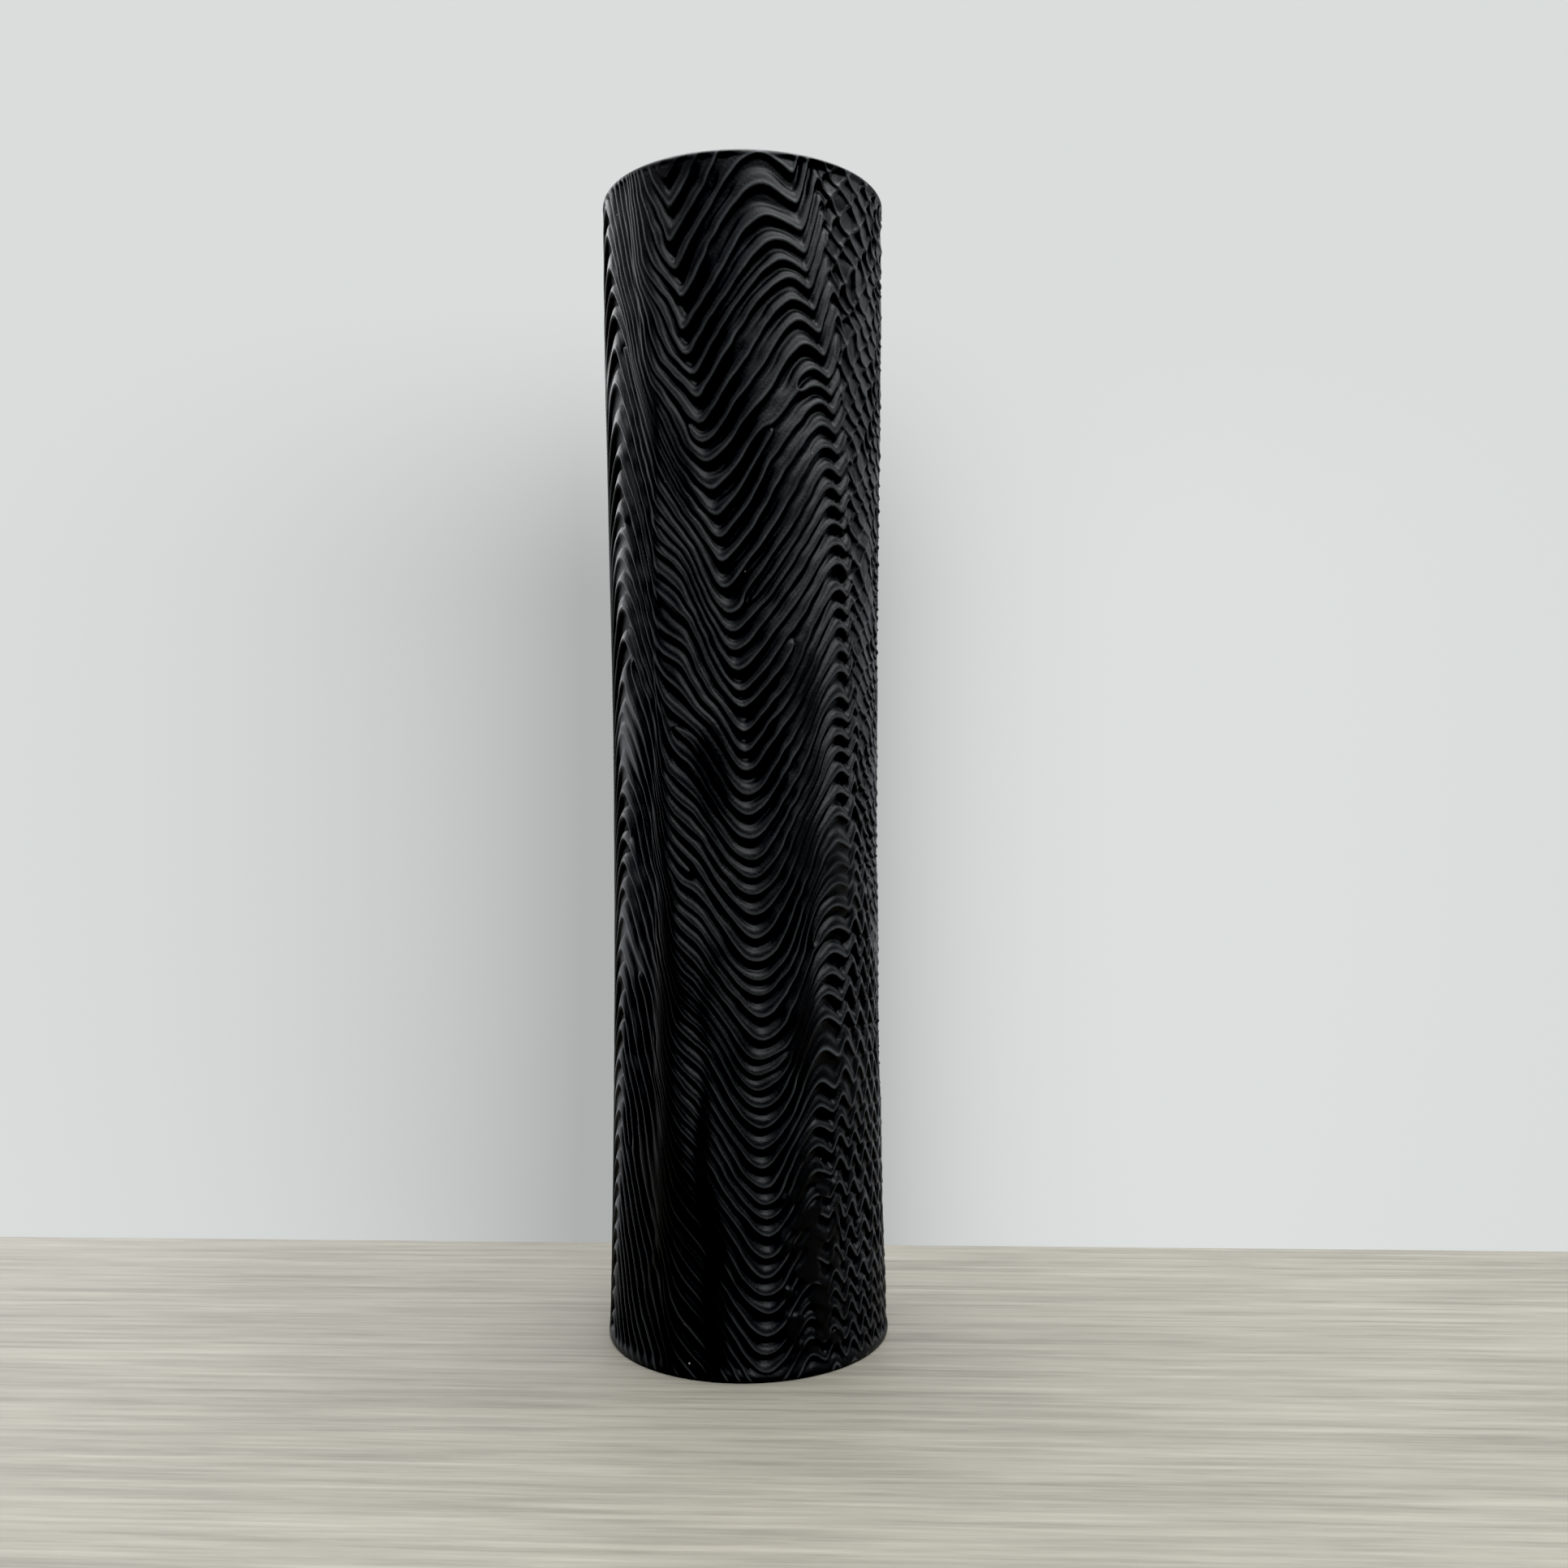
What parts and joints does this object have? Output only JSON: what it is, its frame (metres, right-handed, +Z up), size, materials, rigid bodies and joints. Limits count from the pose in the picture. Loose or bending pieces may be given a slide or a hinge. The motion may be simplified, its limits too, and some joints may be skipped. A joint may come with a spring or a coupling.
{
  "type": "vase",
  "caption": "Tall, slightly waisted cylindrical stoneware vase with a carved wavy relief all over its wall, a plain rounded rim and a recessed foot.",
  "frame": {"origin": "centre of the foot, in the plane that the vase stands on", "axes": "+Z up along the vase's axis, towards the rim; -Y faces the viewer; +X to the viewer's right"},
  "size_m": [0.085, 0.085, 0.34],
  "materials": {
    "wall_slip": "satin",
    "bare_clay": "matte",
    "lining_glaze": "gloss"
  },
  "bodies": {
    "root": {"vase_wall": "wall_slip", "floor_disc": "bare_clay", "corner_coil": "bare_clay", "glaze_lining": "lining_glaze"}
  },
  "joints": []
}
